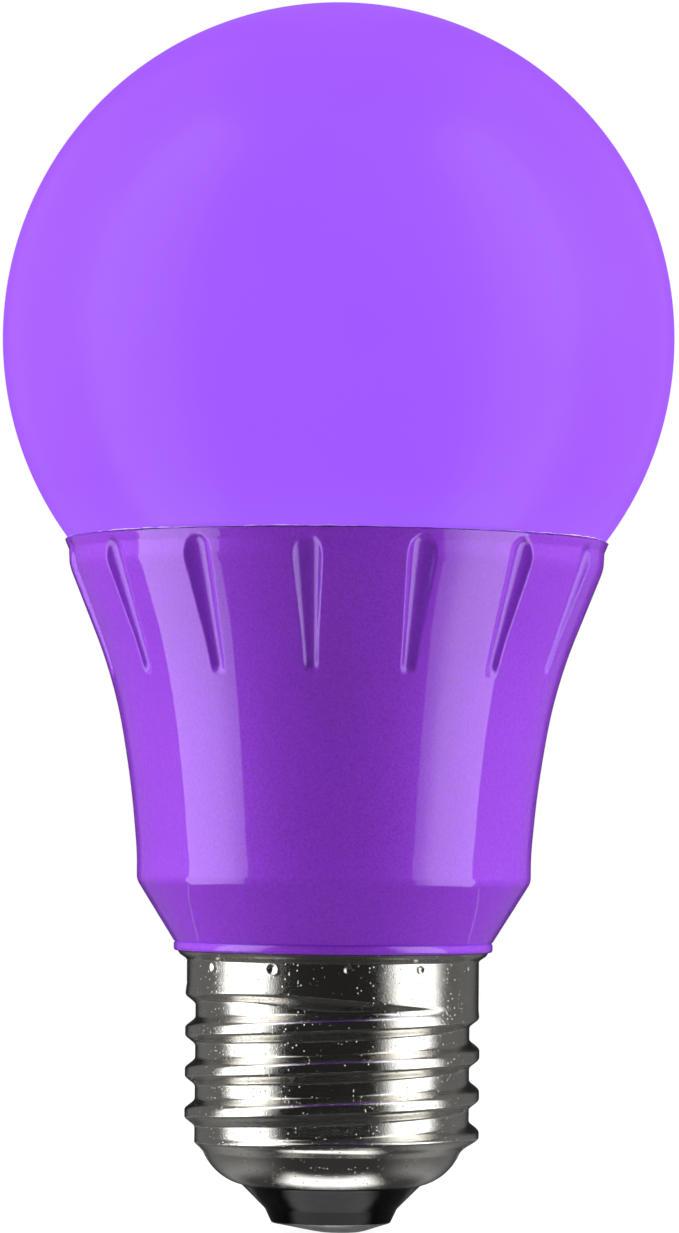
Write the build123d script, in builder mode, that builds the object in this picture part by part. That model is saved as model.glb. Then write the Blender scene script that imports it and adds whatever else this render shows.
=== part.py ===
# Coloured LED bulb with a screw cap. Units are millimetres, +Z is up.
# The origin is on the lamp's axis at the bottom of the centre contact, and the lamp's front faces -Y.
import math
import os

from build123d import *

# Rim of the housing under the seam, with a short belt below its lip
rim_radius = 24.25
seam_height = 61.3
rim_lip_width = 0.35
rim_lip_height = 0.8
belt_narrowing = 0.06
belt_length = 1.1
belt_lean = 0.08

# Globe on the rim
globe_radius = 30.0
globe_inset = 0.4

# Spigot of the globe in the socket of the housing
spigot_shoulder_width = 2.25
spigot_depth = 3.0
spigot_lead_in = 0.4
spigot_clearance = 0.1
spigot_floor_gap = 0.3

# Body of the housing: a rounded shoulder, a cone, then one long hollow curve down to the waist
shoulder_narrowing = 0.39
shoulder_length = 1.35
cone_narrowing = 2.06
cone_length = 5.13
curve_upper_share_of_width = 0.518
curve_upper_share_of_height = 0.722
curve_middle_share_of_width = 0.25
curve_middle_share_of_height = 0.461
curve_lower_share_of_width = 0.073
curve_lower_share_of_height = 0.2
waist_length = 1.3
waist_rounding = 1.6

# Foot of the housing: a chamfer, a fine groove and a thin band
foot_height = 24.85
foot_overhang = 0.38
foot_band_height = 0.89
foot_band_rounding = 0.25
foot_groove_depth = 0.14
foot_groove_height = 0.1
foot_chamfer_width = 3.35
foot_chamfer_height = 5.36

# Flutes under the rim: tapering scoops with rounded ends
flute_count = 15
flute_first_angle = -96.0
flute_top_drop = 1.85
flute_top_ball_radius = 1.6
flute_top_depth = 0.6
flute_low_drop = 3.17
flute_low_narrowing = 1.14
flute_low_ball_radius = 0.73
flute_low_depth = 0.25

# Bead of adhesive at the seam
bead_gap = 0.03
bead_height = 0.22
bead_base_width = 0.24
bead_crown_width = 0.14

# Barrel of the shell at its thread crests, with a flared lip above, close under the foot of the housing
barrel_radius = 13.1
skirt_inset = 0.1
skirt_length = 1.7
lip_height = 0.85
lip_middle_flare = 0.45
lip_middle_drop = 0.35
lip_flare = 0.72

# Rolled right-hand thread: rounded crests, wider roots, and a slanting runout into the skirt
inch = 25.4
thread_turns_to_the_inch = 7
thread_depth = 0.9
thread_crest_share = 0.44
thread_flank_share = 0.28
thread_rise_at_left = 6.95
runout_drop = 5.15
runout_slant = 1.15
runout_length = 1.4
thread_foot_length = 1.5
thread_foot_blend = 1.4
thread_end_step = 0.08
thread_levels_a_turn = 10
thread_points_a_level = 20

# Stake marks round the skirt
stake_count = 12
stake_first_angle = -84.0
stake_drop = 1.35
stake_ball_radius = 0.6
stake_depth = 0.3

# Nose of the shell, from its mouth up to the foot of the thread
mouth_radius = 8.05
mouth_height = 4.18
nose_height = 2.92
nose_bulge = 0.54
nose_inset = 1.65

# Inside of the shell
barrel_wall = 1.25
bore_rise = 1.1
ledge_width = 0.95
ledge_thickness = 0.82
cutter_overrun = 1.0

# Neck of the housing in the shell
neck_clearance = 0.1
neck_rise = 0.8
neck_lead_in = 0.6

# Centre contact with its stem
contact_radius = 5.33
contact_height = 0.92
contact_edge_width = 0.12
contact_edge_thickness = 0.12
contact_tip_radius = 1.9
stem_radius = 1.2
stem_length = 3.68
stem_clearance = 0.05
stem_end_gap = 0.2

# Insulator in the mouth of the nose
insulator_clearance = 0.1
insulator_recess = 0.05
insulator_collar_width = 0.55
insulator_collar_height = 1.14
insulator_rounding = 0.6
flange_thickness = 1.0

# Places of the globe and its spigot
globe_edge_radius = rim_radius - globe_inset
globe_edge_drop = math.sqrt(globe_radius**2 - globe_edge_radius**2)
globe_edge_angle = -math.degrees(math.asin(globe_edge_drop / globe_radius))
globe_centre_height = seam_height + globe_edge_drop
bead_crown_drop = globe_edge_drop - bead_height
globe_crown_radius = math.sqrt(globe_radius**2 - bead_crown_drop**2)
spigot_radius = globe_edge_radius - spigot_shoulder_width
spigot_low_height = seam_height - spigot_depth
socket_radius = spigot_radius + spigot_clearance
socket_floor_height = spigot_low_height - spigot_floor_gap

# Places on the shell, the neck, the insulator and the contact
barrel_top_height = foot_height - lip_height
nose_top_radius = barrel_radius - nose_inset
nose_top_height = mouth_height + nose_height
skirt_radius = barrel_radius - skirt_inset
skirt_low_height = barrel_top_height - skirt_length
thread_pitch = inch / thread_turns_to_the_inch
thread_root_radius = barrel_radius - thread_depth
thread_height_at_left = nose_top_height + thread_rise_at_left
runout_start_height = foot_height - runout_drop
thread_foot_height = nose_top_height + thread_foot_length
thread_length = skirt_low_height - nose_top_height
thread_level_count = math.ceil(thread_length / thread_pitch * thread_levels_a_turn)
bore_radius = barrel_radius - barrel_wall
bore_low_height = nose_top_height + bore_rise
ledge_radius = mouth_radius + ledge_width
ledge_height = mouth_height + ledge_thickness
stake_centre_radius = skirt_radius + stake_ball_radius - stake_depth
neck_radius = bore_radius - neck_clearance
neck_low_height = bore_low_height + neck_rise
throat_radius = mouth_radius - insulator_clearance
throat_low_height = mouth_height - insulator_recess
flange_radius = ledge_radius - insulator_clearance
flange_top_height = ledge_height + flange_thickness
collar_radius = contact_radius + insulator_collar_width
collar_height = contact_height + insulator_collar_height
stem_top_height = contact_height + stem_length
stem_hole_radius = stem_radius + stem_clearance

# Places down the outside of the housing
foot_radius = barrel_radius + lip_flare + foot_overhang
foot_band_top_height = foot_height + foot_band_height
waist_radius = foot_radius + foot_chamfer_width
waist_low_height = foot_band_top_height + foot_chamfer_height
waist_top_height = waist_low_height + waist_length
belt_top_radius = rim_radius - rim_lip_width
belt_top_height = seam_height - rim_lip_height
belt_low_radius = belt_top_radius - belt_narrowing
belt_low_height = belt_top_height - belt_length
cone_top_radius = belt_low_radius - shoulder_narrowing
cone_top_height = belt_low_height - shoulder_length
cone_low_radius = cone_top_radius - cone_narrowing
cone_low_height = cone_top_height - cone_length
cone_direction = (-cone_narrowing, -cone_length)
curve_width = cone_low_radius - waist_radius
curve_height = cone_low_height - waist_top_height
curve_upper_radius = waist_radius + curve_width * curve_upper_share_of_width
curve_upper_height = waist_top_height + curve_height * curve_upper_share_of_height
curve_middle_radius = waist_radius + curve_width * curve_middle_share_of_width
curve_middle_height = waist_top_height + curve_height * curve_middle_share_of_height
curve_lower_radius = waist_radius + curve_width * curve_lower_share_of_width
curve_lower_height = waist_top_height + curve_height * curve_lower_share_of_height

# Places of the flutes
flute_top_height = seam_height - flute_top_drop
flute_low_height = cone_low_height - flute_low_drop
flute_top_centre = belt_low_radius + flute_top_ball_radius - flute_top_depth
flute_low_centre = cone_low_radius - flute_low_narrowing + flute_low_ball_radius - flute_low_depth
flute_rise = flute_top_height - flute_low_height
flute_reach = flute_top_centre - flute_low_centre
flute_length = math.hypot(flute_rise, flute_reach)
flute_lean = math.degrees(math.atan2(flute_reach, flute_rise))
flute_taper = math.asin((flute_top_ball_radius - flute_low_ball_radius) / flute_length)

# Globe: a closed ball cut off flat at the seam, with a spigot below
with BuildPart() as globe:
    with BuildSketch(Plane.XZ):
        with BuildLine():
            CenterArc((0, globe_centre_height), globe_radius, globe_edge_angle, 90 - globe_edge_angle)
            Polyline(
                (globe_edge_radius, seam_height),
                (spigot_radius, seam_height),
                (spigot_radius, spigot_low_height + spigot_lead_in),
                (spigot_radius - spigot_lead_in, spigot_low_height),
                (0, spigot_low_height),
                (0, globe_centre_height + globe_radius),
            )
        make_face()
    revolve(axis=Axis.Z)

# One flute cutter: the hull of a large ball over a small one
with BuildPart() as flute_cutter:
    with BuildSketch(Plane.XZ):
        with BuildLine():
            low_tangent_x = flute_low_ball_radius * math.cos(flute_taper)
            low_tangent_z = -flute_low_ball_radius * math.sin(flute_taper)
            top_tangent_x = flute_top_ball_radius * math.cos(flute_taper)
            top_tangent_z = flute_length - flute_top_ball_radius * math.sin(flute_taper)
            Line((low_tangent_x, low_tangent_z), (top_tangent_x, top_tangent_z))
            RadiusArc(
                (top_tangent_x, top_tangent_z),
                (0, flute_length + flute_top_ball_radius),
                -flute_top_ball_radius,
            )
            Line((0, flute_length + flute_top_ball_radius), (0, -flute_low_ball_radius))
            RadiusArc((0, -flute_low_ball_radius), (low_tangent_x, low_tangent_z), -flute_low_ball_radius)
        make_face()
    revolve(axis=Axis.Z)

# Housing: socket above, fluted body, chamfered foot and a neck for the shell below
with BuildPart() as housing:
    with BuildSketch(Plane.XZ) as housing_section:
        with BuildLine():
            Polyline(
                (0, socket_floor_height),
                (socket_radius, socket_floor_height),
                (socket_radius, seam_height),
                (rim_radius, seam_height),
                (belt_top_radius, belt_top_height),
                (belt_low_radius, belt_low_height),
            )
            Spline(
                (belt_low_radius, belt_low_height),
                (cone_top_radius, cone_top_height),
                tangents=((-belt_lean, -1), cone_direction),
            )
            Line((cone_top_radius, cone_top_height), (cone_low_radius, cone_low_height))
            Spline(
                (cone_low_radius, cone_low_height),
                (curve_upper_radius, curve_upper_height),
                (curve_middle_radius, curve_middle_height),
                (curve_lower_radius, curve_lower_height),
                (waist_radius, waist_top_height),
                tangents=(cone_direction, (0, -1)),
            )
            Polyline(
                (waist_radius, waist_top_height),
                (waist_radius, waist_low_height),
                (foot_radius, foot_band_top_height),
                (foot_radius - foot_groove_depth, foot_band_top_height - foot_groove_height),
                (foot_radius, foot_band_top_height - 2 * foot_groove_height),
                (foot_radius, foot_height),
                (neck_radius, foot_height),
                (neck_radius, neck_low_height + neck_lead_in),
                (neck_radius - neck_lead_in, neck_low_height),
                (0, neck_low_height),
                (0, socket_floor_height),
            )
        make_face()
        waist_corner = housing_section.vertices().sort_by_distance((waist_radius, waist_low_height, 0))[0]
        fillet(waist_corner, waist_rounding)
        band_corner = housing_section.vertices().sort_by_distance((foot_radius, foot_height, 0))[0]
        fillet(band_corner, foot_band_rounding)
    revolve(axis=Axis.Z)
    with PolarLocations(0, flute_count, start_angle=flute_first_angle):
        with Locations(Location((flute_low_centre, 0, flute_low_height), (0, flute_lean, 0))):
            add(flute_cutter.part, mode=Mode.SUBTRACT)

# Seam bead: a thin ring in the corner between the globe and the rim of the housing
with BuildPart() as seam_bead:
    with BuildSketch(Plane.XZ):
        with BuildLine():
            Polyline(
                (globe_edge_radius + bead_gap, seam_height),
                (globe_edge_radius + bead_gap + bead_base_width, seam_height),
                (globe_crown_radius + bead_gap + bead_crown_width, seam_height + bead_height),
                (globe_crown_radius + bead_gap, seam_height + bead_height),
                close=True,
            )
        make_face()
    revolve(axis=Axis.Z)

# Radius of the threaded drum at an angle and a height
def smooth_step(share):
    share = min(1.0, max(0.0, share))
    return share * share * (3 - 2 * share)


def blend(start, end, share):
    return start + (end - start) * smooth_step(share)


def thread_radius(angle, height):
    turns = (height - thread_height_at_left) / thread_pitch - (angle - math.pi) / (2 * math.pi)
    off_crest = abs(turns - round(turns))
    flank_share = (thread_crest_share / 2 - off_crest) / thread_flank_share + 1 / 2
    threaded = blend(thread_root_radius, barrel_radius, flank_share)
    runout_height = runout_start_height - runout_slant * math.cos(angle)
    runout_share = (height - runout_height) / runout_length
    threaded = blend(threaded, skirt_radius - thread_end_step, runout_share)
    foot_share = (thread_foot_height - height) / thread_foot_blend
    return blend(threaded, nose_top_radius + thread_end_step, foot_share)


def thread_point(step, height):
    angle = 2 * math.pi * step / thread_points_a_level
    radius = thread_radius(angle, height)
    return (radius * math.cos(angle), radius * math.sin(angle))


# Screw shell: threaded drum, round nose, skirt with a flared lip, bore and stake marks
with BuildPart() as screw_shell:
    for level in range(thread_level_count + 1):
        level_height = nose_top_height + thread_length * level / thread_level_count
        with BuildSketch(Plane.XY.offset(level_height)):
            with BuildLine():
                Spline(
                    *[thread_point(step, level_height) for step in range(thread_points_a_level)],
                    periodic=True,
                )
            make_face()
    loft(ruled=True)
    with BuildSketch(Plane.XZ):
        with BuildLine():
            Line((0, mouth_height), (mouth_radius, mouth_height))
            SagittaArc((mouth_radius, mouth_height), (nose_top_radius, nose_top_height), -nose_bulge)
            Polyline((nose_top_radius, nose_top_height), (0, nose_top_height), (0, mouth_height))
        make_face()
    revolve(axis=Axis.Z)
    with BuildSketch(Plane.XZ):
        with BuildLine():
            Polyline(
                (0, skirt_low_height),
                (skirt_radius, skirt_low_height),
                (skirt_radius, barrel_top_height),
                (barrel_radius + lip_middle_flare, foot_height - lip_middle_drop),
                (barrel_radius + lip_flare, foot_height),
                (0, foot_height),
                close=True,
            )
        make_face()
    revolve(axis=Axis.Z)
    with BuildSketch(Plane.XZ):
        with BuildLine():
            Polyline(
                (ledge_radius, ledge_height),
                (bore_radius, bore_low_height),
                (bore_radius, foot_height + cutter_overrun),
                (0, foot_height + cutter_overrun),
                (0, mouth_height - cutter_overrun),
                (mouth_radius, mouth_height - cutter_overrun),
                (mouth_radius, ledge_height),
                close=True,
            )
        make_face()
    revolve(axis=Axis.Z, mode=Mode.SUBTRACT)
    with PolarLocations(stake_centre_radius, stake_count, start_angle=stake_first_angle):
        with Locations((0, 0, foot_height - stake_drop)):
            Sphere(stake_ball_radius, mode=Mode.SUBTRACT)

# Insulator: a flange on the inner floor of the nose, then a taper down to the contact
with BuildPart() as insulator:
    with BuildSketch(Plane.XZ) as insulator_section:
        with BuildLine():
            Polyline(
                (0, contact_height),
                (contact_radius, contact_height),
                (collar_radius, collar_height),
                (throat_radius, throat_low_height),
                (throat_radius, ledge_height),
                (flange_radius, ledge_height),
                (flange_radius, flange_top_height),
                (0, flange_top_height),
                close=True,
            )
        make_face()
        collar_corner = insulator_section.vertices().sort_by_distance((collar_radius, collar_height, 0))[0]
        fillet(collar_corner, insulator_rounding)
    revolve(axis=Axis.Z)
    with BuildSketch(Plane.XY.offset(contact_height)):
        Circle(stem_hole_radius)
    extrude(amount=stem_length + stem_end_gap, mode=Mode.SUBTRACT)

# Centre contact: a shallow cone with a stem up into the insulator
with BuildPart() as contact:
    with BuildSketch(Plane.XZ):
        with BuildLine():
            Polyline(
                (0, 0),
                (contact_tip_radius, 0),
                (contact_radius - contact_edge_width, contact_height - contact_edge_thickness),
                (contact_radius, contact_height),
                (stem_radius, contact_height),
                (stem_radius, stem_top_height),
                (0, stem_top_height),
                close=True,
            )
        make_face()
    revolve(axis=Axis.Z)

globe.part.label = "globe"
housing.part.label = "housing"
seam_bead.part.label = "seam_bead"
screw_shell.part.label = "screw_shell"
insulator.part.label = "insulator"
contact.part.label = "contact"

os.makedirs("parts", exist_ok=True)
export_step(globe.part, "parts/globe.step")
export_step(housing.part, "parts/housing.step")
export_step(seam_bead.part, "parts/seam_bead.step")
export_step(screw_shell.part, "parts/screw_shell.step")
export_step(insulator.part, "parts/insulator.step")
export_step(contact.part, "parts/contact.step")
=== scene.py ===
import math

import bpy
import numpy as np
from mathutils import Matrix, Vector


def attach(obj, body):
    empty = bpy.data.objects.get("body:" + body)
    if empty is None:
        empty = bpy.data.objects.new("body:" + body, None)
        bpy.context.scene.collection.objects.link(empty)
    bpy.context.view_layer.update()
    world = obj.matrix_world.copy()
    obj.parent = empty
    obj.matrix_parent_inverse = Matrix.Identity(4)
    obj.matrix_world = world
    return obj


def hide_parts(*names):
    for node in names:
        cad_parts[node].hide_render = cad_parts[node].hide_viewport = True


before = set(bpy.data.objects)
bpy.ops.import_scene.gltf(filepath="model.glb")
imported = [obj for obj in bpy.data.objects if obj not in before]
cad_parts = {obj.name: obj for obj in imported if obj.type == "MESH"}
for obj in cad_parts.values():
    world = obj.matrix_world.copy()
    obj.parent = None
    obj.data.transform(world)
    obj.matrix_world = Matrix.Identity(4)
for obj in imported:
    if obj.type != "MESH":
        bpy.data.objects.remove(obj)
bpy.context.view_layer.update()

# The lamp is written in millimetres, and make_skin turns them into metres. A place on an outline
# is (radius, height). Angles round the axis are in degrees, with the front of the lamp at -90.
MM = 0.001

# Globe with its spigot, and the socket of the housing
GLOBE_RADIUS = 30.0
GLOBE_INSET = 0.4
RIM_RADIUS = 24.25
SEAM_HEIGHT = 61.3
SPIGOT_RADIUS = 21.6
SPIGOT_LOW_HEIGHT = 58.3
SOCKET_RADIUS = 21.7
SOCKET_LOW_HEIGHT = 58.0
GLOBE_EDGE_RADIUS = RIM_RADIUS - GLOBE_INSET
GLOBE_EDGE_DROP = math.sqrt(GLOBE_RADIUS**2 - GLOBE_EDGE_RADIUS**2)
GLOBE_CENTRE_HEIGHT = SEAM_HEIGHT + GLOBE_EDGE_DROP
GLOBE_COLUMNS = 224
GLOBE_ROWS = 120
GLOBE_LAST_ROW_ANGLE = 89.5

# Outside of the housing, from the rim down to the foot
RIM_LIP = [(RIM_RADIUS, SEAM_HEIGHT), (24.22, 61.26), (24.19, 61.15), (23.93, 60.55)]
BELT_TOP = (23.89, 60.45)
BELT_LOW = (23.84, 59.4)
BELT_LEAN = 0.08
CONE_TOP = (23.45, 58.05)
CONE_LOW = (21.39, 52.92)
CONE_LEAN = (CONE_TOP[0] - CONE_LOW[0]) / (CONE_TOP[1] - CONE_LOW[1])
HOLLOW_CURVE = [(19.54, 47.21), (18.51, 41.86), (17.83, 36.51)]
WAIST_RADIUS = 17.55
WAIST_TOP = (WAIST_RADIUS, 32.4)
WAIST_LOW = (WAIST_RADIUS, 31.1)
WAIST_ROUNDING = 1.6
CHAMFER_UPPER = (16.6, 29.58)
CHAMFER_LOWER = (14.24, 25.8)
FOOT_RADIUS = 14.2
FOOT_HEIGHT = 24.85
FOOT_BAND_TOP = (FOOT_RADIUS, 25.74)
FOOT_GROOVE = [(14.12, 25.68), (14.08, 25.64), (14.12, 25.6)]
FOOT_BAND_SIDE = (FOOT_RADIUS, 25.54)
FOOT_BAND_ROUNDING = 0.25
NECK_RADIUS = 11.75
NECK_LEAD_IN_HEIGHT = 9.6
NECK_LOW = (11.15, 9.0)

# Flutes: scoops with the shape of two balls and the cone between them
FLUTE_COUNT = 15
FLUTE_FIRST_ANGLE = -96.0
FLUTE_TOP = (24.84, 59.45)
FLUTE_LOW = (20.6, 49.75)
FLUTE_TOP_BALL = 1.6
FLUTE_LOW_BALL = 0.72
FLUTE_EDGE_ROUNDING = 0.08
FLUTES_LOWEST_ROW = 48.6
FLUTE_SEARCH_DEPTH = 1.6
FLUTE_SEARCH_MARGIN = 0.05
FLUTE_SEARCH_HALVINGS = 26

# Bead of adhesive: its section at full size is (out from the globe, up from the rim)
BEAD_COLUMNS = 900
BEAD_SECTION = [(0.0, 0.0), (0.27, 0.0), (0.33, 0.07), (0.27, 0.15), (0.17, 0.2), (0.08, 0.2)]
BEAD_GAP = 0.01
BEAD_LIFT = 0.005
BEAD_LEAST_WIDTH = 0.35
BEAD_LEAST_RISE = 0.3
BEAD_STEADY_SHARE = 0.4
BEAD_WAVE_SHARE = 0.25
BEAD_RAGGED_SHARE = 0.35
BEAD_RAGGED_LEAST = 0.4
BEAD_FINE_SHARE = 0.15
# Heights in millimetres where the bead's painted shade below gives way to its painted highlight on top
BEAD_PAINTED_HIGHLIGHT_FROM_HEIGHT = 61.44
BEAD_PAINTED_HIGHLIGHT_TO_HEIGHT = 61.49
BEAD_COLOUR_UNEVENNESS = 0.12

# Barrel of the shell, with a flared lip above the plain skirt
CREST_RADIUS = 13.1
ROOT_RADIUS = 12.2
SKIRT_RADIUS = 13.0
BORE_RADIUS = 11.85
BORE_LOW_HEIGHT = 8.2
SHELL_LIP = [(13.72, FOOT_HEIGHT), (13.81, 24.8), (13.74, 24.68), (13.62, 24.52)]
SHELL_LIP += [(13.45, 24.4), (13.28, 24.28), (13.12, 24.17), (13.04, 24.08)]
SKIRT_TOP_HEIGHT = 24.0
STAKE_ROWS_LOW_HEIGHT = 22.4
STAKE_ROW_STEP = 0.07
THREAD_ROW_STEP = 0.085

# Rolled right-hand thread: seven turns to the inch, with a slanting end in the skirt and in the nose
THREAD_PITCH = 25.4 / 7
THREAD_CREST_AT_LEFT = 14.05
THREAD_CREST_SHARE = 0.44
THREAD_FLANK_SHARE = 0.28
RUNOUT_HEIGHT = 19.7
RUNOUT_SLANT = 1.15
RUNOUT_LENGTH = 1.4
THREAD_FOOT_HEIGHT = 8.65
THREAD_FOOT_SLANT = 0.15
THREAD_FOOT_LENGTH = 1.1

# Stake marks round the skirt: round dents with a low raised edge
STAKE_COUNT = 12
STAKE_FIRST_ANGLE = -84.0
STAKE_HEIGHT = 23.5
STAKE_RADIUS = 0.44
STAKE_DEPTH = 0.14
STAKE_FULLNESS = 1.5
STAKE_EDGE_RADIUS = 0.52
STAKE_EDGE_WIDTH = 0.12
STAKE_EDGE_RISE = 0.02

# Rounded nose of the shell, down to its mouth
NOSE_TOP = (11.45, 7.1)
NOSE_LOW = (8.05, 4.18)
NOSE_BULGE = 0.54
NOSE_ROWS = 22
MOUTH = [(7.98, 4.22), (7.98, 4.4), (8.05, 5.0), (9.0, 5.0)]

# Insulator, and the centre contact with its stem
CONTACT_RADIUS = 5.33
CONTACT_TOP_HEIGHT = 0.92
CONTACT_CONE = [(1.75, 0.0), (1.95, 0.03), (2.42, 0.12), (3.13, 0.29), (3.84, 0.47), (4.85, 0.72)]
CONTACT_EDGE = [(5.21, 0.8), (5.31, 0.86), (5.32, CONTACT_TOP_HEIGHT)]
CONTACT_STEM = [(1.2, 0.93), (1.2, 4.6)]
CONTACT_TIP_SHIFT = 0.8
CONTACT_CONE_HEIGHT = 0.8
CONTACT_COLUMNS = 144
COLLAR = (5.88, 2.06)
COLLAR_ROUNDING = 0.6
THROAT_RADIUS = 7.95
THROAT_LOW = (THROAT_RADIUS, 4.13)
THROAT_STEP = [(7.87, 4.05), (7.93, 4.09), (THROAT_RADIUS, 4.15)]
INSULATOR_FLANGE = [(THROAT_RADIUS, 5.0), (8.9, 5.0), (8.9, 6.0)]
INSULATOR_INSIDE = [(1.4, 4.8), (1.4, 0.95), (5.2, 0.95)]
INSULATOR_COLUMNS = 180

# Camera in metres and radians, fitted to the photograph
CAMERA_DISTANCE = 0.470
CAMERA_HEIGHT = 0.035
CAMERA_AIM_HEIGHT = 0.0547
CAMERA_SIDE = 0.0003
CAMERA_ROLL = 0.0091
CAMERA_LENS = 153.8
CAMERA_SENSOR_WIDTH = 36.0
CAMERA_NEAREST = 0.02
CAMERA_FARTHEST = 20.0

# Studio in metres: a dome of light panels and dark cards, whose azimuth 0 is towards the camera
DOME_RADIUS = 0.8
DOME_FOOT_HEIGHT = 0.05
DOME_COLUMNS = 25
DOME_ROWS = 13
SCREEN_ELEVATIONS = (0, 62)
ROOF_ELEVATIONS = (62, 89.9)
FLOOR_WEDGE_START = 0.05
FLOOR_WEDGE_HEIGHT = 0.0006

# Light of the studio
SOFTBOX_LEVEL = 2.75
SIDE_LIGHT_LEVEL = 4.4
WORLD_LEVEL = 0.05
CARD_LEVEL = 0.018
LIMB_CARD_LEVEL = 0.15
BACK_CARD_LEVEL = 0.08

# Softboxes: azimuths from and to, then the soft edge's azimuth, its width and its share of the light
SOFTBOXES = {
    "softbox_left": ((-92, -50), (-50, 16, 0.6)),
    "softbox_right": ((46, 87), (46, 14, 0.4)),
}

# Side lights: azimuths from and to
SIDE_LIGHTS = {
    "side_light_left": (-124, -63),
    "side_light_right": (63, 124),
}

# Dark cards: azimuths from and to, then the level
DARK_CARDS = {
    "card_front": ((-50, 46), CARD_LEVEL),
    "card_side_left": ((-152, -92), LIMB_CARD_LEVEL),
    "card_side_right": ((87, 152), LIMB_CARD_LEVEL),
    "card_back_left": ((-172, -152), CARD_LEVEL),
    "card_back_right": ((152, 172), CARD_LEVEL),
    "card_behind": ((172, 188), BACK_CARD_LEVEL),
}

# Card under the lamp. Its sides lie between two azimuths, and its rings give a radius in metres,
# the share of the level at the front and back, and what the sides add.
FLOOR_CARD_LEVEL = 0.08
FLOOR_CARD_HEIGHT = -0.00001
FLOOR_CARD_COLUMNS = 61
FLOOR_CARD_SIDE_START = 30
FLOOR_CARD_SIDE_START_WIDTH = 40
FLOOR_CARD_SIDE_END = 150
FLOOR_CARD_SIDE_END_WIDTH = 30
FLOOR_CARD_RINGS = [
    (0.0001, 5.0, 0.0),
    (0.0048, 4.0, 0.0),
    (0.0056, 0.4, 0.0),
    (0.0095, 0.5, 0.3),
    (0.0125, 0.5, 3.2),
    (0.018, 0.5, 1.6),
    (0.0502, 0.5, 0.6),
]

# Reflector on the floor in front of the cap
REFLECTOR_LEVEL = 1.7
REFLECTOR_MIDDLE = (-0.0002, -0.007)
REFLECTOR_HALF_SIZE = (0.0068, 0.0032)
REFLECTOR_HEIGHT = -0.000005
REFLECTOR_SOFT_SHARE = 0.4
REFLECTOR_STEPS = 13

# Floor: where the camera sees it, its glow and its share grow from near the lamp to far from it
FLOOR_HALF_SIZE = 4.0
FLOOR_HEIGHT = -0.00002
FLOOR_GREY = (0.5, 0.5, 0.5, 1.0)
FLOOR_NEAR_DISTANCE = 0.1
FLOOR_FAR_DISTANCE = 0.5
FLOOR_NEAR_GLOW = 1.53
FLOOR_NEAR_SHARE = 0.6

# Colours, as linear red, green and blue
GLOBE_DIM = (0.055, 0.012, 0.155)
GLOBE_BRIGHT = (0.065, 0.015, 0.175)
# Painted light of the globe: emission colours that flatten its shading, paler beside the seam
GLOBE_PAINTED_LIGHT_DIM = (0.342, 0.098, 0.97)
GLOBE_PAINTED_LIGHT_BRIGHT = (0.356, 0.106, 1.0)
GLOBE_PAINTED_LIGHT_AT_SEAM = (0.43, 0.19, 1.0)
HOUSING_DIM = (0.30, 0.039, 0.76)
HOUSING_BRIGHT = (0.415, 0.063, 1.0)
HOUSING_CLOUD = (0.35, 0.04, 0.70)
# The bead's painted highlight on top, and painted shade of the gap below
BEAD_PAINTED_HIGHLIGHT = (0.62, 0.42, 1.0)
BEAD_PAINTED_GAP_SHADE = (0.06, 0.02, 0.16)
BLACK = (0.0, 0.0, 0.0)
NICKEL_DIM = (0.66, 0.64, 0.59)
NICKEL_BRIGHT = (0.78, 0.765, 0.725)
INSULATOR_DIM = (0.002, 0.002, 0.003)
INSULATOR_BRIGHT = (0.006, 0.006, 0.007)
SOLDER_DIM = (0.15, 0.147, 0.14)
SOLDER_BRIGHT = (0.28, 0.272, 0.26)

# Finish: shares of tints and of the globe's paler painted light beside the seam, the height in millimetres
# where that paler painted light ends, bumps in metres
GLOBE_SEAM_PAINTED_LIGHT_SHARE = 0.12
GLOBE_SEAM_PAINTED_LIGHT_HEIGHT = 65.5
HOUSING_CLOUD_TINT = 0.22
SPECK_HEIGHT = 2.8
FINE_BUMP = 0.0001
PLATE_BUMP = 0.00002


def smooth(t):
    """Smooth step from 0 to 1."""
    t = np.clip(t, 0.0, 1.0)
    return t * t * (3.0 - 2.0 * t)


def even_angles(count):
    """Angles round the axis at equal steps."""
    return np.radians(np.linspace(0, 360, count, endpoint=False))


def ring_angles(count, first_degrees, columns_near, columns_between, near_degrees):
    """Angles round the axis, closer together beside each of count repeated features."""
    period = 360.0 / count
    offsets = list(np.linspace(-near_degrees, near_degrees, columns_near, endpoint=False))
    offsets += list(np.linspace(near_degrees, period - near_degrees, columns_between, endpoint=False))
    angles = [first_degrees + period * k + offset for k in range(count) for offset in offsets]
    return np.radians(np.array(angles))


def turn_to_nearest(angles, count, first_degrees):
    """Each angle as it is seen from the nearest of count repeated features."""
    period = 2 * math.pi / count
    return (angles - math.radians(first_degrees) + period / 2) % period - period / 2


def make_ring(radius, angles, height):
    """Points round the axis. Radius and height are numbers, or one value for each angle."""
    heights = height * np.ones_like(angles)
    return np.stack([radius * np.cos(angles), radius * np.sin(angles), heights], axis=-1)


def turn_rings(outline, angles):
    """Rings of a surface of revolution."""
    return [make_ring(radius, angles, height) for radius, height in outline]


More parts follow.
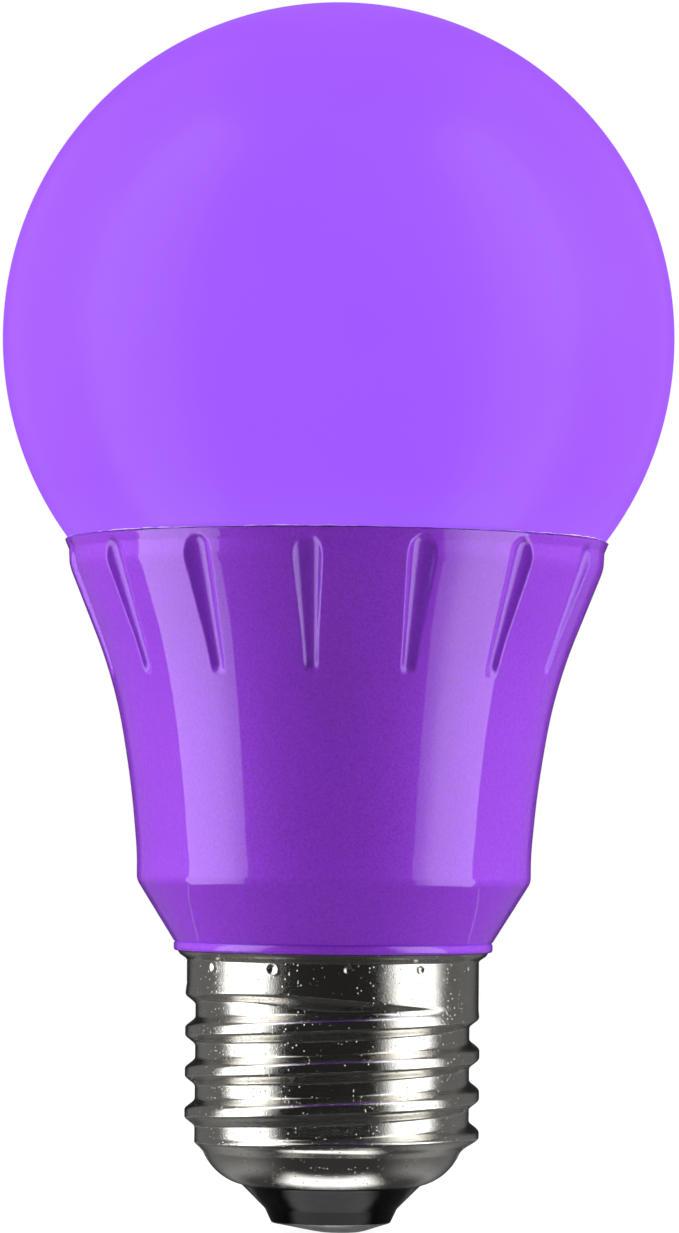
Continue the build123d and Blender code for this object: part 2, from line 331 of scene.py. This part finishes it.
def make_skin(name, rings, tube=False):
    """A closed mesh from rings of equal length, in millimetres, down the outside.

    A tube closes its last ring on its first, and any other skin has a pole at each end."""
    rings = np.asarray(rings, float) * MM
    count, columns = rings.shape[0], rings.shape[1]
    points = rings.reshape(-1, 3).tolist()
    index = np.arange(count * columns).reshape(count, columns)
    if tube:
        index = np.vstack([index, index[:1]])
    following = np.roll(index, -1, axis=1)
    faces = np.stack([index[:-1], index[1:], following[1:], following[:-1]], axis=-1)
    faces = faces.reshape(-1, 4).tolist()
    if not tube:
        points += [rings[0].mean(axis=0).tolist(), rings[-1].mean(axis=0).tolist()]
        first, last = len(points) - 2, len(points) - 1
        faces += [[first, int(index[0][i]), int(following[0][i])] for i in range(columns)]
        faces += [[last, int(following[-1][i]), int(index[-1][i])] for i in range(columns)]
    mesh = bpy.data.meshes.new(name)
    mesh.from_pydata(points, [], faces)
    mesh.validate()
    mesh.update()
    obj = bpy.data.objects.new(name, mesh)
    bpy.context.scene.collection.objects.link(obj)
    return obj


def shade(obj, crease_degrees):
    """Smooth shading with sharp edges where the surface turns by more than the given angle."""
    mesh = obj.data
    mesh.polygons.foreach_set("use_smooth", [True] * len(mesh.polygons))
    mesh.set_sharp_from_angle(angle=math.radians(crease_degrees))
    return obj


def refine(outline, step):
    """The same outline, with further points so that none are further apart than step."""
    points = [outline[0]]
    for start, end in zip(outline, outline[1:]):
        across, up = end[0] - start[0], end[1] - start[1]
        parts = max(1, math.ceil(math.hypot(across, up) / step))
        for i in range(1, parts + 1):
            points.append((start[0] + across * i / parts, start[1] + up * i / parts))
    return points


def fillet(before, corner, after, radius, parts):
    """Points of an arc that rounds the corner between two straight lines."""
    corner = np.array(corner, float)
    back = np.array(before, float) - corner
    ahead = np.array(after, float) - corner
    back /= np.linalg.norm(back)
    ahead /= np.linalg.norm(ahead)
    half_angle = math.acos(float(back @ ahead)) / 2
    reach = radius / math.tan(half_angle)
    inward = (back + ahead) / np.linalg.norm(back + ahead)
    middle = corner + inward * radius / math.sin(half_angle)
    start = corner + back * reach - middle
    end = corner + ahead * reach - middle
    start_angle = math.atan2(start[1], start[0])
    turn = math.atan2(end[1], end[0]) - start_angle
    turn = (turn + math.pi) % (2 * math.pi) - math.pi
    angles = [start_angle + turn * i / parts for i in range(parts + 1)]
    return [(middle[0] + radius * math.cos(a), middle[1] + radius * math.sin(a)) for a in angles]


def flowing_curve(points, first_lean, last_lean, parts):
    """A smooth outline down through the points, with as many parts between each two.

    A lean is how fast the radius grows with height."""
    radii = np.array([radius for radius, height in points])[::-1]
    heights = np.array([height for radius, height in points])[::-1]
    leans = np.gradient(radii, heights)
    leans[0], leans[-1] = last_lean, first_lean
    curve = []
    for i in range(len(heights) - 1):
        rise = heights[i + 1] - heights[i]
        for k in range(parts):
            t = k / parts
            radius = (
                (2 * t**3 - 3 * t**2 + 1) * radii[i]
                + (t**3 - 2 * t**2 + t) * rise * leans[i]
                + (-2 * t**3 + 3 * t**2) * radii[i + 1]
                + (t**3 - t**2) * rise * leans[i + 1]
            )
            curve.append((float(radius), float(heights[i] + rise * t)))
    curve.append((float(radii[-1]), float(heights[-1])))
    return curve[::-1]


# Globe
def make_globe():
    first = -math.asin(GLOBE_EDGE_DROP / GLOBE_RADIUS)
    outline = [(SPIGOT_RADIUS, SPIGOT_LOW_HEIGHT), (SPIGOT_RADIUS, SEAM_HEIGHT)]
    for angle in np.linspace(first, math.radians(GLOBE_LAST_ROW_ANGLE), GLOBE_ROWS):
        height = GLOBE_CENTRE_HEIGHT + GLOBE_RADIUS * math.sin(angle)
        outline.append((GLOBE_RADIUS * math.cos(angle), height))
    rings = turn_rings(outline[::-1], even_angles(GLOBE_COLUMNS))
    return shade(make_skin("globe_diffuser", rings), crease_degrees=50)


# Housing
def distance_to_flute(radius, aside, height):
    """Distance to a flute's scoop from points near it, radius being measured in its own plane."""
    low, top = np.array(FLUTE_LOW), np.array(FLUTE_TOP)
    length = float(np.linalg.norm(top - low))
    axis = (top - low) / length
    along = (radius - low[0]) * axis[0] + (height - low[1]) * axis[1]
    across = (radius - low[0]) * axis[1] - (height - low[1]) * axis[0]
    off_axis = np.hypot(across, aside)
    sine = (FLUTE_LOW_BALL - FLUTE_TOP_BALL) / length
    cosine = math.sqrt(1 - sine * sine)
    along_side = cosine * along - sine * off_axis
    to_side = cosine * off_axis + sine * along - FLUTE_LOW_BALL
    to_low_ball = np.hypot(off_axis, along) - FLUTE_LOW_BALL
    to_top_ball = np.hypot(off_axis, along - length) - FLUTE_TOP_BALL
    above = np.where(along_side > cosine * length, to_top_ball, to_side)
    return np.where(along_side < 0, to_low_ball, above)


def fluted_radius(plain_radius, angles, height):
    """Radius of the fluted housing at one height, with softened flute edges."""
    turned = turn_to_nearest(angles, FLUTE_COUNT, FLUTE_FIRST_ANGLE)
    inner = np.full_like(angles, plain_radius - FLUTE_SEARCH_DEPTH)
    outer = np.full_like(angles, plain_radius + FLUTE_SEARCH_MARGIN)
    for _ in range(FLUTE_SEARCH_HALVINGS):
        middle = (inner + outer) / 2
        past_skin = middle - plain_radius
        in_flute = -distance_to_flute(middle * np.cos(turned), middle * np.sin(turned), height)
        overlap = np.maximum(FLUTE_EDGE_ROUNDING - np.abs(past_skin - in_flute), 0) / FLUTE_EDGE_ROUNDING
        outside = np.maximum(past_skin, in_flute) + overlap * overlap * FLUTE_EDGE_ROUNDING / 4
        inner = np.where(outside < 0, middle, inner)
        outer = np.where(outside < 0, outer, middle)
    return (inner + outer) / 2


def housing_outline():
    """Outline from the seam down to the underside of the foot."""
    foot_corner = (FOOT_RADIUS, FOOT_HEIGHT)
    foot_inside = (NECK_RADIUS, FOOT_HEIGHT)
    outline = refine(RIM_LIP + [BELT_TOP, BELT_LOW], step=0.2)
    outline += flowing_curve([BELT_LOW, CONE_TOP], BELT_LEAN, CONE_LEAN, parts=8)[1:]
    outline += refine([CONE_TOP, CONE_LOW], step=0.3)[1:]
    outline += flowing_curve([CONE_LOW] + HOLLOW_CURVE + [WAIST_TOP], CONE_LEAN, 0.0, parts=14)[1:]
    outline += fillet(WAIST_TOP, WAIST_LOW, FOOT_BAND_TOP, WAIST_ROUNDING, parts=14)
    outline += refine([CHAMFER_UPPER, CHAMFER_LOWER], step=0.6)[1:]
    outline += [FOOT_BAND_TOP] + FOOT_GROOVE + [FOOT_BAND_SIDE]
    outline += fillet(FOOT_BAND_SIDE, foot_corner, foot_inside, FOOT_BAND_ROUNDING, parts=6)
    return outline


def make_housing():
    angles = ring_angles(
        FLUTE_COUNT, FLUTE_FIRST_ANGLE, columns_near=26, columns_between=10, near_degrees=4.2
    )
    rings = turn_rings([(SOCKET_RADIUS, SOCKET_LOW_HEIGHT), (SOCKET_RADIUS, SEAM_HEIGHT)], angles)
    for radius, height in housing_outline():
        if FLUTES_LOWEST_ROW < height < SEAM_HEIGHT:
            radius = fluted_radius(radius, angles, height)
        rings.append(make_ring(radius, angles, height))
    neck = [(NECK_RADIUS, FOOT_HEIGHT), (NECK_RADIUS, NECK_LEAD_IN_HEIGHT), NECK_LOW]
    rings += turn_rings(neck, angles)
    return shade(make_skin("housing_body", rings), crease_degrees=60)


# Bead of adhesive in the seam, thin and uneven
def ripple(angles, count, drift, drift_count, drift_start=0.0):
    """A wave from 0 to 1 round the axis, with waves of uneven length."""
    return 0.5 + 0.5 * np.sin(angles * count + drift * np.sin(angles * drift_count + drift_start))


def bead_swell(angles):
    """Share of the bead's full section at each angle."""
    wave = ripple(angles, count=7, drift=1.3, drift_count=3)
    ragged = ripple(angles, count=53, drift=2.0, drift_count=17, drift_start=0.7)
    fine = ripple(angles, count=141, drift=2.4, drift_count=37)
    ragged *= BEAD_RAGGED_LEAST + (1 - BEAD_RAGGED_LEAST) * wave
    swell = BEAD_STEADY_SHARE + BEAD_WAVE_SHARE * wave
    return swell + BEAD_RAGGED_SHARE * ragged + BEAD_FINE_SHARE * fine * wave


def make_bead():
    angles = even_angles(BEAD_COLUMNS)
    swell = bead_swell(angles)
    rings = []
    for out, up in BEAD_SECTION:
        rise = up * np.clip(swell, BEAD_LEAST_RISE, 1.0)
        globe_wall = np.sqrt(GLOBE_RADIUS**2 - (GLOBE_EDGE_DROP - rise) ** 2)
        radius = globe_wall + BEAD_GAP + out * np.clip(swell, BEAD_LEAST_WIDTH, 1.0)
        rings.append(make_ring(radius, angles, SEAM_HEIGHT + BEAD_LIFT + rise))
    return shade(make_skin("seam_line", rings[::-1], tube=True), crease_degrees=70)


# Screw shell
def thread_radius(angles, height):
    """Radius of the rolled shell between its nose and its skirt."""
    turned = np.mod(angles, 2 * math.pi)
    turns = (height - THREAD_CREST_AT_LEFT) / THREAD_PITCH - (turned - math.pi) / (2 * math.pi)
    off_crest = np.abs(turns - np.round(turns))
    crest = smooth((THREAD_CREST_SHARE / 2 - off_crest) / THREAD_FLANK_SHARE + 0.5)
    radius = ROOT_RADIUS + (CREST_RADIUS - ROOT_RADIUS) * crest
    runout_height = RUNOUT_HEIGHT - RUNOUT_SLANT * np.cos(turned)
    to_skirt = smooth((height - runout_height) / RUNOUT_LENGTH)
    radius = radius * (1 - to_skirt) + SKIRT_RADIUS * to_skirt
    nose_radius = NOSE_TOP[0] + np.clip(height - NOSE_TOP[1], 0, ROOT_RADIUS - NOSE_TOP[0])
    foot_height = THREAD_FOOT_HEIGHT - THREAD_FOOT_SLANT * np.cos(turned)
    to_nose = smooth((foot_height - height) / THREAD_FOOT_LENGTH)
    return radius * (1 - to_nose) + nose_radius * to_nose


def stake_dent(angles, height):
    """Depth of the stake marks at one height, below 0 on their raised edges."""
    turned = turn_to_nearest(angles, STAKE_COUNT, STAKE_FIRST_ANGLE)
    off = np.hypot(turned * SKIRT_RADIUS, height - STAKE_HEIGHT)
    dent = STAKE_DEPTH * np.clip(1 - (off / STAKE_RADIUS) ** 2, 0, 1) ** STAKE_FULLNESS
    edge = STAKE_EDGE_RISE * np.exp(-(((off - STAKE_EDGE_RADIUS) / STAKE_EDGE_WIDTH) ** 2))
    return dent - edge


def nose_outline():
    """Points of an arc from the top of the nose down to its mouth, bulging out and down."""
    top, low = np.array(NOSE_TOP), np.array(NOSE_LOW)
    chord = float(np.linalg.norm(top - low))
    radius = (chord**2 / 4 + NOSE_BULGE**2) / (2 * NOSE_BULGE)
    along = (top - low) / chord
    outward = np.array([along[1], -along[0]])
    centre = (low + top) / 2 + outward * (NOSE_BULGE - radius)
    rays = [top + (low - top) * t - centre for t in np.linspace(0, 1, NOSE_ROWS)]
    return [tuple(centre + ray / np.linalg.norm(ray) * radius) for ray in rays]


def make_shell():
    angles = ring_angles(
        STAKE_COUNT, STAKE_FIRST_ANGLE, columns_near=12, columns_between=13, near_degrees=3.4
    )
    bore = [(BORE_RADIUS, BORE_LOW_HEIGHT), (BORE_RADIUS, FOOT_HEIGHT)]
    rings = turn_rings(bore + SHELL_LIP, angles)
    heights = list(np.arange(SKIRT_TOP_HEIGHT, STAKE_ROWS_LOW_HEIGHT, -STAKE_ROW_STEP))
    heights += list(np.arange(STAKE_ROWS_LOW_HEIGHT, NOSE_TOP[1], -THREAD_ROW_STEP))
    for height in heights:
        radius = thread_radius(angles, height) - stake_dent(angles, height)
        rings.append(make_ring(radius, angles, height))
    rings += turn_rings(nose_outline() + MOUTH, angles)
    return shade(make_skin("cap_shell", rings, tube=True), crease_degrees=62)


# Insulator in the mouth of the shell
def make_insulator():
    contact_edge = (CONTACT_RADIUS, CONTACT_TOP_HEIGHT)
    outline = [contact_edge] + fillet(contact_edge, COLLAR, THROAT_LOW, COLLAR_ROUNDING, parts=8)
    outline = INSULATOR_INSIDE + refine(outline + THROAT_STEP, step=0.25) + INSULATOR_FLANGE
    rings = turn_rings(outline[::-1], even_angles(INSULATOR_COLUMNS))
    return shade(make_skin("base_insulator", rings), crease_degrees=40)


# Centre contact, with its blunt tip a little to one side as pressed
def make_contact():
    rings = turn_rings(CONTACT_CONE + CONTACT_EDGE + CONTACT_STEM, even_angles(CONTACT_COLUMNS))
    for ring in rings:
        ring[:, 0] += CONTACT_TIP_SHIFT * np.clip(1 - ring[:, 2] / CONTACT_CONE_HEIGHT, 0, 1)
    return shade(make_skin("centre_contact", rings[::-1]), crease_degrees=40)


class Nodes:
    """A short way to write the nodes of a material or of the world. Noise scales are per metre."""

    def __init__(self, owner, output="ShaderNodeOutputMaterial"):
        owner.use_nodes = True
        self.owner = owner
        self.tree = owner.node_tree
        self.tree.nodes.clear()
        self.output = self.add(output)

    def add(self, kind, **values):
        node = self.tree.nodes.new(kind)
        for key, value in values.items():
            setattr(node, key, value)
        return node

    def link(self, source, target):
        self.tree.links.new(source, target)

    def principled(self, values):
        node = self.add("ShaderNodeBsdfPrincipled")
        for key, value in values.items():
            node.inputs[key].default_value = value
        self.link(node.outputs["BSDF"], self.output.inputs["Surface"])
        return node

    def place(self):
        return self.add("ShaderNodeTexCoord").outputs["Object"]

    def height(self):
        node = self.add("ShaderNodeSeparateXYZ")
        self.link(self.place(), node.inputs[0])
        return node.outputs["Z"]

    def noise(self, scale, detail=3.0, roughness=0.5):
        node = self.add("ShaderNodeTexNoise")
        node.inputs["Scale"].default_value = scale
        node.inputs["Detail"].default_value = detail
        node.inputs["Roughness"].default_value = roughness
        self.link(self.place(), node.inputs["Vector"])
        return node.outputs["Fac"]

    def cloud(self, scale, values=(0.0, 1.0), span=(0.3, 0.7), detail=3.0, roughness=0.5):
        """A noise that goes from one value to the other over a span of its own range."""
        return self.ramp(self.noise(scale, detail, roughness), *span, *values)

    def specks(self, scale, size, share):
        """Small round grains, in a share of the cells of a Voronoi pattern."""
        node = self.add("ShaderNodeTexVoronoi")
        node.inputs["Scale"].default_value = scale
        self.link(self.place(), node.inputs["Vector"])
        parts = self.add("ShaderNodeSeparateColor")
        self.link(node.outputs["Color"], parts.inputs[0])
        chosen = self.maths("LESS_THAN", parts.outputs[0], share)
        return self.maths("MULTIPLY", self.ramp(node.outputs["Distance"], size, 0.0), chosen)

    def ramp(self, value, low, high, to_low=0.0, to_high=1.0):
        node = self.add("ShaderNodeMapRange")
        node.inputs["From Min"].default_value = low
        node.inputs["From Max"].default_value = high
        node.inputs["To Min"].default_value = to_low
        node.inputs["To Max"].default_value = to_high
        self.link(value, node.inputs["Value"])
        return node.outputs["Result"]

    def mix(self, share, first, second):
        """A colour between two, each a colour or the output of a node."""
        node = self.add("ShaderNodeMix", data_type="RGBA")
        self.link(share, node.inputs[0])
        for socket, value in ((node.inputs[6], first), (node.inputs[7], second)):
            if isinstance(value, tuple):
                socket.default_value = (*value, 1.0)
            else:
                self.link(value, socket)
        return node.outputs[2]

    def maths(self, operation, first, second):
        """An operation on two values, each a number or the output of a node."""
        node = self.add("ShaderNodeMath", operation=operation)
        for socket, value in ((node.inputs[0], first), (node.inputs[1], second)):
            if isinstance(value, (int, float)):
                socket.default_value = value
            else:
                self.link(value, socket)
        return node.outputs[0]

    def bump(self, height, strength, distance=FINE_BUMP):
        node = self.add("ShaderNodeBump")
        node.inputs["Strength"].default_value = strength
        node.inputs["Distance"].default_value = distance
        self.link(height, node.inputs["Height"])
        return node.outputs["Normal"]

    def blend(self, share, first, second):
        """The output shows a mix of two shaders."""
        node = self.add("ShaderNodeMixShader")
        self.link(share, node.inputs[0])
        self.link(first, node.inputs[1])
        self.link(second, node.inputs[2])
        self.link(node.outputs[0], self.output.inputs["Surface"])

    def feed(self, shader, sources):
        for key, source in sources.items():
            self.link(source, shader.inputs[key])

    def seen_rays(self):
        """1 for camera, glossy and transmission rays, else 0."""
        path = self.add("ShaderNodeLightPath")
        seen = self.maths("MAXIMUM", path.outputs["Is Camera Ray"], path.outputs["Is Glossy Ray"])
        return self.maths("MAXIMUM", seen, path.outputs["Is Transmission Ray"])


# Satin tinted diffuser with painted light: an emission of nearly its full colour flattens its shading, and
# this painted light is a little paler beside the seam
def globe_material():
    nodes = Nodes(bpy.data.materials.new("tinted_diffuser"))
    # The emission paints even light over the globe, and the glow mixed in below is paler painted light
    # beside the seam
    shader = nodes.principled({"Emission Strength": 0.95, "Specular IOR Level": 0.1})
    cloud = nodes.cloud(38.0)
    near_seam = nodes.ramp(nodes.height(), GLOBE_SEAM_PAINTED_LIGHT_HEIGHT * MM, SEAM_HEIGHT * MM)
    tint = nodes.maths("MULTIPLY", near_seam, GLOBE_SEAM_PAINTED_LIGHT_SHARE)
    glow = nodes.mix(tint, nodes.mix(cloud, GLOBE_PAINTED_LIGHT_DIM, GLOBE_PAINTED_LIGHT_BRIGHT), GLOBE_PAINTED_LIGHT_AT_SEAM)
    nodes.feed(shader, {
        "Base Color": nodes.mix(cloud, GLOBE_DIM, GLOBE_BRIGHT),
        "Emission Color": glow,
        "Roughness": nodes.cloud(260.0, values=(0.2, 0.27)),
        "Normal": nodes.bump(nodes.noise(1400.0, detail=2.0), 0.05),
    })
    return nodes.owner


# Finely mottled plastic under a clear gloss
def housing_material():
    nodes = Nodes(bpy.data.materials.new("glossy_tinted_plastic"))
    coat = {"Coat Weight": 1.0, "Coat Roughness": 0.02, "Coat IOR": 1.5}
    shader = nodes.principled({"Metallic": 0.05, "Specular IOR Level": 0.2, **coat})
    mottle = nodes.cloud(4500.0, span=(0.32, 0.7), roughness=0.7)
    tint = nodes.maths("MULTIPLY", nodes.cloud(90.0, span=(0.35, 0.7)), HOUSING_CLOUD_TINT)
    nodes.feed(shader, {
        "Base Color": nodes.mix(tint, nodes.mix(mottle, HOUSING_DIM, HOUSING_BRIGHT), HOUSING_CLOUD),
        "Roughness": nodes.cloud(1500.0, values=(0.4, 0.55)),
        "Normal": nodes.bump(nodes.noise(5200.0), 0.12),
    })
    return nodes.owner


# Adhesive with painted light: a painted highlight on top, lit by emission, over painted shade of the gap
# below, with an uneven line between the two
def bead_material():
    nodes = Nodes(bpy.data.materials.new("adhesive_line"))
    shader = nodes.principled({"Specular IOR Level": 0.5, "Emission Strength": 0.35})
    uneven = nodes.maths("MULTIPLY", nodes.noise(700.0, detail=2.0), BEAD_COLOUR_UNEVENNESS * MM)
    height = nodes.maths("ADD", nodes.height(), uneven)
    # pale marks the painted highlight on top, and below it lies painted shade of the gap
    pale = nodes.ramp(height, BEAD_PAINTED_HIGHLIGHT_FROM_HEIGHT * MM, BEAD_PAINTED_HIGHLIGHT_TO_HEIGHT * MM)
    nodes.feed(shader, {
        "Base Color": nodes.mix(pale, BEAD_PAINTED_GAP_SHADE, BEAD_PAINTED_HIGHLIGHT),
        "Emission Color": nodes.mix(pale, BLACK, BEAD_PAINTED_HIGHLIGHT),
        "Roughness": nodes.cloud(1800.0, values=(0.2, 0.45), detail=2.0),
    })
    return nodes.owner


# Nickel plate with fine grain and small round specks
def shell_material():
    nodes = Nodes(bpy.data.materials.new("nickel_plate"))
    shader = nodes.principled({"Metallic": 1.0})
    specks = nodes.specks(scale=2900.0, size=0.26, share=0.5)
    grain = nodes.noise(8000.0, roughness=0.7)
    height = nodes.maths("ADD", grain, nodes.maths("MULTIPLY", specks, SPECK_HEIGHT))
    nodes.feed(shader, {
        "Base Color": nodes.mix(nodes.cloud(170.0), NICKEL_DIM, NICKEL_BRIGHT),
        "Roughness": nodes.cloud(95.0, values=(0.09, 0.16), span=(0.35, 0.7)),
        "Normal": nodes.bump(height, 0.7, PLATE_BUMP),
    })
    return nodes.owner


# Glossy black insulator
def insulator_material():
    nodes = Nodes(bpy.data.materials.new("black_glass"))
    shader = nodes.principled({"Specular IOR Level": 0.24})
    tone = nodes.cloud(500.0, span=(0.35, 0.65))
    nodes.feed(shader, {
        "Base Color": nodes.mix(tone, INSULATOR_DIM, INSULATOR_BRIGHT),
        "Roughness": nodes.cloud(900.0, values=(0.06, 0.2)),
        "Normal": nodes.bump(nodes.noise(1200.0), 0.3),
    })
    return nodes.owner


# Dull solder of the contact
def contact_material():
    nodes = Nodes(bpy.data.materials.new("dull_solder"))
    shader = nodes.principled({"Metallic": 0.85})
    tone = nodes.cloud(650.0, span=(0.35, 0.68), detail=4.0)
    nodes.feed(shader, {
        "Base Color": nodes.mix(tone, SOLDER_DIM, SOLDER_BRIGHT),
        "Roughness": nodes.cloud(1500.0, values=(0.32, 0.55)),
        "Normal": nodes.bump(nodes.noise(1600.0, detail=4.0, roughness=0.6), 0.4),
    })
    return nodes.owner


def dress(obj, material, node):
    obj.data.materials.append(material)
    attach(obj, "root")
    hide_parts(node)


# Floor: pale, white where it is seen, with the lamp's soft shadow on it
def make_floor():
    mesh = bpy.data.meshes.new("floor")
    size = FLOOR_HALF_SIZE
    corners = [(-size, -size, 0), (size, -size, 0), (size, size, 0), (-size, size, 0)]
    mesh.from_pydata(corners, [], [(0, 1, 2, 3)])
    floor = bpy.data.objects.new("floor", mesh)
    floor.location.z = FLOOR_HEIGHT
    bpy.context.scene.collection.objects.link(floor)
    nodes = Nodes(bpy.data.materials.new("pale_floor"))
    matt = nodes.add("ShaderNodeBsdfDiffuse")
    matt.inputs["Color"].default_value = FLOOR_GREY
    glow = nodes.add("ShaderNodeEmission")
    from_lamp = nodes.add("ShaderNodeVectorMath", operation="LENGTH")
    nodes.link(nodes.place(), from_lamp.inputs[0])
    far = (from_lamp.outputs["Value"], FLOOR_NEAR_DISTANCE, FLOOR_FAR_DISTANCE)
    nodes.link(nodes.ramp(*far, FLOOR_NEAR_GLOW, 1.0), glow.inputs["Strength"])
    share = nodes.maths("MULTIPLY", nodes.seen_rays(), nodes.ramp(*far, FLOOR_NEAR_SHARE, 1.0))
    nodes.blend(share, matt.outputs[0], glow.outputs[0])
    mesh.materials.append(nodes.owner)


def studio_point(radius, azimuth, height):
    turn = math.radians(azimuth)
    return (radius * math.sin(turn), -radius * math.cos(turn), height)


def dome_point(azimuth, elevation):
    rise = math.radians(elevation)
    height = DOME_RADIUS * math.sin(rise) + DOME_FOOT_HEIGHT
    return studio_point(DOME_RADIUS * math.cos(rise), azimuth, height)


def make_panel(name, grid, level, shares=None, reflected=True, sheds_light=False):
    """A panel of light or a dark card over a grid of points, never seen by the camera.

    The shares say how much of the level each point has."""
    width = len(grid[0])
    points = [point for line in grid for point in line]
    faces = []
    for i in range(len(grid) - 1):
        for j in range(width - 1):
            corner = i * width + j
            faces.append((corner, corner + 1, corner + 1 + width, corner + width))
    mesh = bpy.data.meshes.new(name)
    mesh.from_pydata(points, [], faces)
    attribute = mesh.attributes.new("glow", "FLOAT", "POINT")
    attribute.data.foreach_set("value", shares or [1.0] * len(points))
    panel = bpy.data.objects.new(name, mesh)
    bpy.context.scene.collection.objects.link(panel)
    nodes = Nodes(bpy.data.materials.new(name))
    light = nodes.add("ShaderNodeEmission")
    share = nodes.add("ShaderNodeAttribute", attribute_name="glow")
    nodes.link(nodes.maths("MULTIPLY", share.outputs["Fac"], level), light.inputs["Strength"])
    nodes.link(light.outputs[0], nodes.output.inputs["Surface"])
    mesh.materials.append(nodes.owner)
    panel.visible_camera = False
    panel.visible_shadow = False
    panel.visible_glossy = reflected
    panel.visible_diffuse = sheds_light


def make_screen(name, azimuths, level, elevations=SCREEN_ELEVATIONS, soft_edge=None, wedge=True, **options):
    """A part of the dome. A wedge carries it on down to the floor and in towards the lamp."""
    columns = np.linspace(*azimuths, DOME_COLUMNS)
    rows = np.linspace(*elevations, DOME_ROWS)
    grid = [[dome_point(azimuth, elevation) for azimuth in columns] for elevation in rows]
    if wedge:
        near = [studio_point(FLOOR_WEDGE_START, azimuth, FLOOR_WEDGE_HEIGHT) for azimuth in columns]
        far = [(x, y, FLOOR_WEDGE_HEIGHT) for x, y, z in grid[0]]
        grid = [near, far] + grid
    shares = None
    if soft_edge is not None:
        edge, width, least = soft_edge
        row_shares = least + (1 - least) * smooth(abs(columns - edge) / width)
        shares = row_shares.tolist() * len(grid)
    make_panel(name, grid, level, shares, **options)


def make_floor_card():
    """A flat disc on the floor under the lamp, lighter towards its sides."""
    columns = np.linspace(-180, 180, FLOOR_CARD_COLUMNS)
    starts = smooth((abs(columns) - FLOOR_CARD_SIDE_START) / FLOOR_CARD_SIDE_START_WIDTH)
    ends = smooth((FLOOR_CARD_SIDE_END - abs(columns)) / FLOOR_CARD_SIDE_END_WIDTH)
    grid = []
    shares = []
    for radius, front, added in FLOOR_CARD_RINGS:
        grid.append([studio_point(radius, azimuth, FLOOR_CARD_HEIGHT) for azimuth in columns])
        shares += (front + added * starts * ends).tolist()
    make_panel("card_below", grid, FLOOR_CARD_LEVEL, shares)


def make_reflector():
    """A small soft-edged patch of light on the floor under the front of the cap."""
    steps = np.linspace(-1, 1, REFLECTOR_STEPS)
    across = REFLECTOR_MIDDLE[0] + REFLECTOR_HALF_SIZE[0] * steps
    along = REFLECTOR_MIDDLE[1] + REFLECTOR_HALF_SIZE[1] * steps
    grid = [[(x, y, REFLECTOR_HEIGHT) for x in across] for y in along]
    fade = smooth((1 - abs(steps)) / REFLECTOR_SOFT_SHARE)
    shares = np.outer(fade, fade).ravel().tolist()
    make_panel("reflector_below", grid, REFLECTOR_LEVEL, shares)


def make_world():
    """White where it is seen, and nearly dark as a light on the lamp."""
    nodes = Nodes(bpy.data.worlds.new("white_studio"), output="ShaderNodeOutputWorld")
    plain = nodes.add("ShaderNodeBackground")
    white = nodes.add("ShaderNodeBackground")
    for background, strength in ((plain, WORLD_LEVEL), (white, 1.0)):
        background.inputs["Color"].default_value = (1, 1, 1, 1)
        background.inputs["Strength"].default_value = strength
    nodes.blend(nodes.seen_rays(), plain.outputs[0], white.outputs[0])
    bpy.context.scene.world = nodes.owner


def make_studio():
    """Softboxes and cards show in reflections only, and the side lights only light the lamp."""
    for name, (azimuths, soft_edge) in SOFTBOXES.items():
        make_screen(name, azimuths, SOFTBOX_LEVEL, soft_edge=soft_edge)
    for name, azimuths in SIDE_LIGHTS.items():
        make_screen(name, azimuths, SIDE_LIGHT_LEVEL, wedge=False, reflected=False, sheds_light=True)
    for name, (azimuths, level) in DARK_CARDS.items():
        make_screen(name, azimuths, level)
    make_screen("card_above", (-180, 180), CARD_LEVEL, ROOF_ELEVATIONS, wedge=False)
    make_floor_card()
    make_reflector()
    make_world()


def make_camera():
    data = bpy.data.cameras.new("camera")
    data.lens = CAMERA_LENS
    data.sensor_width = CAMERA_SENSOR_WIDTH
    data.sensor_fit = "AUTO"
    data.clip_start = CAMERA_NEAREST
    data.clip_end = CAMERA_FARTHEST
    camera = bpy.data.objects.new("camera", data)
    bpy.context.scene.collection.objects.link(camera)
    bpy.context.scene.camera = camera
    eye = Vector((CAMERA_SIDE, -CAMERA_DISTANCE, CAMERA_HEIGHT))
    aim = Vector((CAMERA_SIDE, 0.0, CAMERA_AIM_HEIGHT))
    ahead = (aim - eye).normalized()
    right = ahead.cross(Vector((0, 0, 1))).normalized()
    up = right.cross(ahead)
    rolled_right = right * math.cos(CAMERA_ROLL) + up * math.sin(CAMERA_ROLL)
    rolled_up = rolled_right.cross(ahead)
    turned = Matrix((rolled_right, rolled_up, -ahead)).transposed()
    camera.matrix_world = Matrix.Translation(eye) @ turned.to_4x4()


dress(make_globe(), globe_material(), "globe")
dress(make_housing(), housing_material(), "housing")
dress(make_bead(), bead_material(), "seam_bead")
dress(make_shell(), shell_material(), "screw_shell")
dress(make_insulator(), insulator_material(), "insulator")
dress(make_contact(), contact_material(), "contact")

make_floor()
make_studio()
make_camera()

bpy.context.scene.view_settings.view_transform = "Standard"

bpy.context.view_layer.update()
